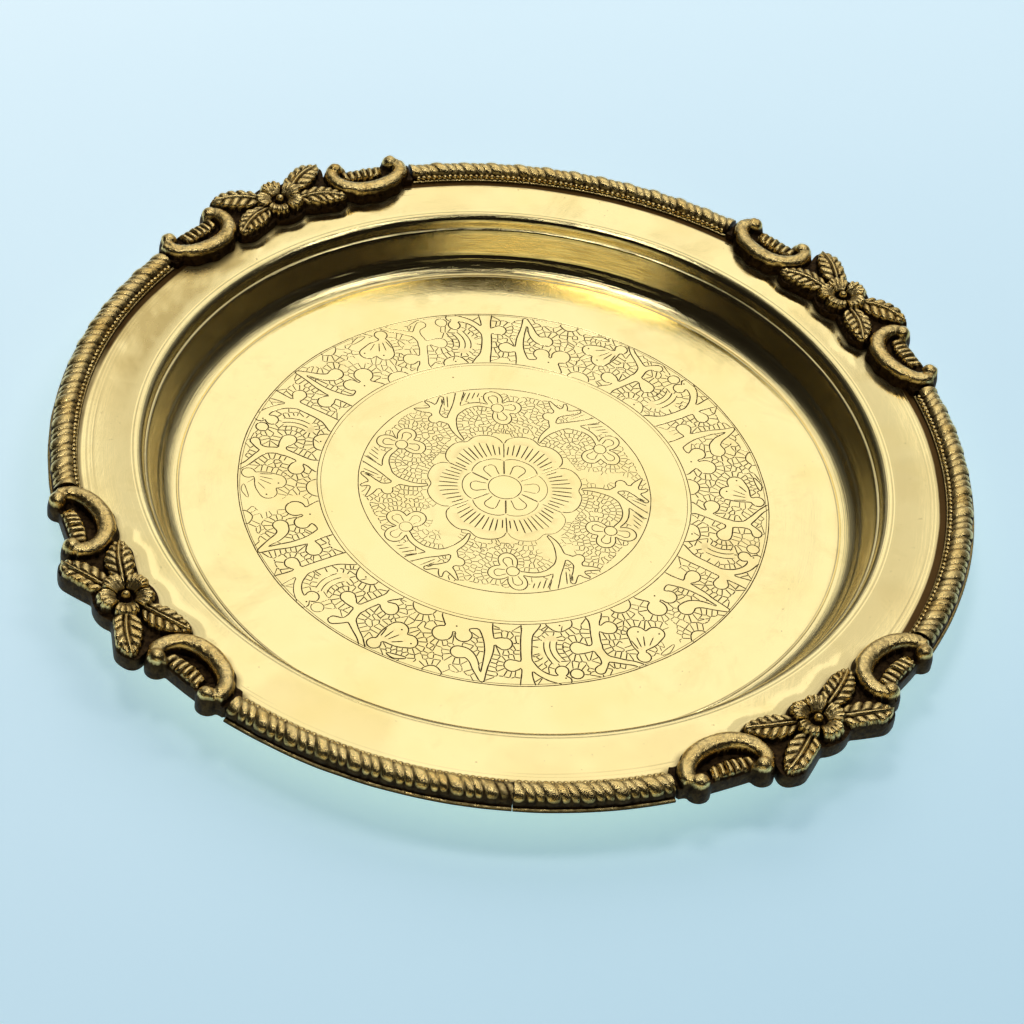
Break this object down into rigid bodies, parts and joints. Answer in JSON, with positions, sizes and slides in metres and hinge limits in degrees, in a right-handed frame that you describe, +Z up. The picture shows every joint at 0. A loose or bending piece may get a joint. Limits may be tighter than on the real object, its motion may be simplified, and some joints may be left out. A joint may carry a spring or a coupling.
{
  "type": "round serving tray",
  "caption": "Round brass serving tray: shallow spun pan with a flat well, stepped wall and wide rim, edged by soldered cast floral cartouches and gadroon mouldings.",
  "frame": {"origin": "centre of the underside of the flat well, where the tray rests on a table", "axes": "+Z up out of the well, +Y towards the middle of the back gadroon run, +X to the right; the tray mirrors across the YZ plane"},
  "size_m": [0.2744, 0.2744, 0.0249],
  "materials": {
    "polished_brass": "spun and polished, with fine scratches and chased lines darkened by old polish",
    "cast_brass": "cast, polished on the high spots and dark brown in the recesses",
    "soft_solder": "dull grey tin solder"
  },
  "bodies": {
    "root": {"pan": "polished_brass", "cartouche_front_left": "cast_brass", "cartouche_front_right": "cast_brass", "cartouche_back_right": "cast_brass", "cartouche_back_left": "cast_brass", "gadroon_front_left": "cast_brass", "gadroon_front_right": "cast_brass", "gadroon_right": "cast_brass", "gadroon_back": "cast_brass", "gadroon_left": "cast_brass", "rim_solder": "soft_solder"}
  },
  "joints": []
}
